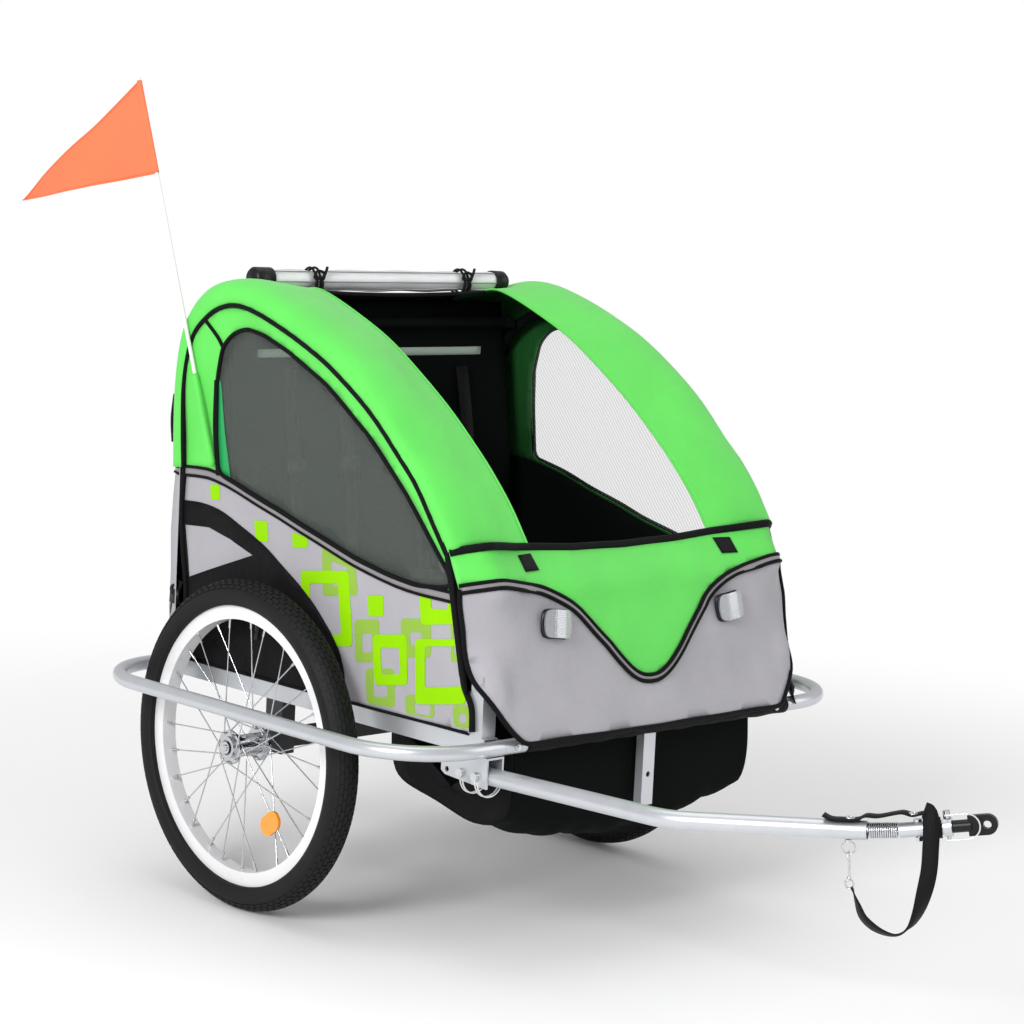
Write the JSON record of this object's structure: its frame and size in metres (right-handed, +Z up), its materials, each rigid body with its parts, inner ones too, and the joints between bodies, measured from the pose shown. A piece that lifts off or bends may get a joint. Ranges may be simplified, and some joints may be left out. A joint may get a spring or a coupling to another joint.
{
  "type": "child bicycle trailer",
  "caption": "Two-seat child trailer towed behind a bicycle: fabric cabin on a folding tube frame, large spoked wheels, side drawbar with a sprung hitch, wheel guards and a flag on a pole.",
  "frame": {"origin": "on the ground, under the middle of the bounding box", "axes": "+Z up, -Y forward along the drawbar, +X to the right as seen from the front looking back at the cabin; the drawbar and the pieces named left are on the -X side"},
  "size_m": [0.95, 1.8504, 1.2362],
  "materials": {
    "silver_tube": "satin silver coated tube",
    "black_beam": "black powder coat",
    "zinc": "bright zinc plate",
    "hub_chrome": "polished chrome plate",
    "white_wire": "white coated wire",
    "tyre_rubber": "matt black rubber with a block tread",
    "white_rim": "white coated aluminium",
    "black_plastic": "black moulded plastic",
    "orange_lens": "prismatic orange lens",
    "black_fabric": "black woven nylon and webbing",
    "clear_film": "clear flexible film",
    "green_fabric": "bright green coated polyester",
    "grey_fabric": "light grey coated polyester",
    "silver_lens": "clear prismatic reflector",
    "white_rod": "white glass fibre",
    "orange_fabric": "fluorescent orange nylon"
  },
  "bodies": {
    "chassis": {"chassis_frame": "silver_tube", "axle_beam": "black_beam", "drawbar_bracket": "silver_tube", "front_wheel_bracket": "silver_tube", "guard_left": "silver_tube", "guard_right": "silver_tube", "guard_bolts": "zinc", "axle_pins": "zinc", "axle_nuts": "zinc", "drawbar_pins": "zinc", "pin_wires": "white_wire", "canopy_band_left": "green_fabric", "canopy_band_right": "green_fabric", "roof_panel": "black_fabric", "rear_panel": "grey_fabric", "front_panel": "green_fabric", "side_panel_left": "grey_fabric", "side_panel_right": "grey_fabric", "side_window_left": "clear_film", "side_window_right": "clear_film", "backrest": "black_fabric", "seat": "black_fabric", "harness": "black_fabric", "floor_panel": "black_fabric", "footwell_bag": "black_fabric"},
    "wheel_left": {"tyre_left": "tyre_rubber", "rim_left": "white_rim", "spokes_left": "zinc", "hub_left": "hub_chrome", "valve_left": "black_plastic", "wheel_reflector_left": "orange_lens"},
    "wheel_right": {"tyre_right": "tyre_rubber", "rim_right": "white_rim", "spokes_right": "zinc", "hub_right": "hub_chrome", "valve_right": "black_plastic", "wheel_reflector_right": "orange_lens"},
    "button_left": {"axle_button_left": "zinc"},
    "button_right": {"axle_button_right": "zinc"},
    "drawbar": {"drawbar_tube": "silver_tube", "strap_ring": "zinc", "safety_strap": "black_fabric", "snap_hook": "zinc", "coupling_spring": "zinc"},
    "gate": {"snap_gate": "zinc"},
    "coupling": {"spring_core": "zinc"},
    "hitch": {"hitch_tube": "silver_tube", "hitch_bolt": "zinc", "hitch_eye": "black_plastic", "hitch_pin": "zinc"},
    "bail": {"pin_bail": "white_wire"},
    "frame_left": {"side_frame_left": "silver_tube"},
    "frame_right": {"side_frame_right": "silver_tube"},
    "top_bar": {"crossbar": "black_plastic", "cover_roll": "clear_film", "roll_ties": "black_fabric"},
    "front_lamps": {"front_reflectors": "silver_lens"},
    "flag_pocket": {"flag_sleeve": "green_fabric"},
    "flag": {"flag_pole": "white_rod", "flag_pennant": "orange_fabric"}
  },
  "joints": [
    {"name": "wheel_left_spin", "type": "hinge", "parent": "chassis", "child": "wheel_left", "pos_m": [-0.373, 0.24272, 0.249], "axis": [1, 0, 0], "continuous": true},
    {"name": "wheel_right_spin", "type": "hinge", "parent": "chassis", "child": "wheel_right", "pos_m": [0.373, 0.24272, 0.249], "axis": [1, 0, 0], "continuous": true},
    {"name": "axle_button_left", "type": "slide", "parent": "chassis", "child": "button_left", "axis": [1, 0, 0], "range_m": [0, 0.003]},
    {"name": "axle_button_right", "type": "slide", "parent": "chassis", "child": "button_right", "axis": [-1, 0, 0], "range_m": [0, 0.003]},
    {"name": "drawbar_fold", "type": "hinge", "parent": "chassis", "child": "drawbar", "pos_m": [-0.30575, -0.17778, 0.283], "axis": [1, 0, 0], "range_deg": [0, 170], "deforming": ["pin_wires"]},
    {"name": "snap_gate_open", "type": "hinge", "parent": "drawbar", "child": "gate", "pos_m": [-0.18477, -0.76299, 0.257], "axis": [-0.4991, 0.8644, -0.061], "range_deg": [0, 20]},
    {"name": "hitch_yaw", "type": "hinge", "parent": "drawbar", "child": "coupling", "pos_m": [-0.16582, -0.7996, 0.31197], "axis": [0, 0, 1], "range_deg": [-25, 25], "deforming": ["coupling_spring", "safety_strap"]},
    {"name": "hitch_pitch", "type": "hinge", "parent": "coupling", "child": "hitch", "pos_m": [-0.16582, -0.7996, 0.31197], "axis": [0.866, 0.5, 0], "range_deg": [-20, 20], "deforming": ["coupling_spring", "safety_strap"]},
    {"name": "hitch_pin_bail", "type": "hinge", "parent": "hitch", "child": "bail", "pos_m": [-0.12713, -0.86662, 0.34367], "axis": [0.866, 0.5, 0], "range_deg": [0, 90]},
    {"name": "cabin_fold", "type": "hinge", "parent": "chassis", "child": "frame_left", "pos_m": [-0.3075, 0.24272, 0.409], "axis": [0, 1, 0], "range_deg": [0, 90], "deforming": ["canopy_band_left", "canopy_band_right", "roof_panel", "rear_panel", "front_panel", "side_panel_left", "side_panel_right", "side_window_left", "side_window_right", "backrest", "seat", "harness", "cover_roll", "roll_ties"]},
    {"name": "cabin_fold_right", "type": "hinge", "parent": "chassis", "child": "frame_right", "pos_m": [0.3075, 0.24272, 0.379], "axis": [0, -1, 0], "range_deg": [0, 90]},
    {"name": "top_bar_drop", "type": "slide", "parent": "chassis", "child": "top_bar", "axis": [0, 0, -1], "range_m": [0, 0.51]},
    {"name": "reflector_drop", "type": "slide", "parent": "chassis", "child": "front_lamps", "axis": [0, 0, -1], "range_m": [0, 0.1144]},
    {"name": "flag_pocket_drop", "type": "slide", "parent": "chassis", "child": "flag_pocket", "axis": [0, 0, -1], "range_m": [0, 0.2622]},
    {"name": "flag_pull", "type": "slide", "parent": "flag_pocket", "child": "flag", "axis": [0, 0.3535, 0.9354], "range_m": [0, 0.12]}
  ],
  "couplings": [
    {"joint": "cabin_fold_right", "follows": "cabin_fold", "ratio": 1},
    {"joint": "top_bar_drop", "follows": "cabin_fold", "m_per_rad": 0.3246},
    {"joint": "reflector_drop", "follows": "cabin_fold", "m_per_rad": 0.0727},
    {"joint": "flag_pocket_drop", "follows": "cabin_fold", "m_per_rad": 0.1668}
  ]
}
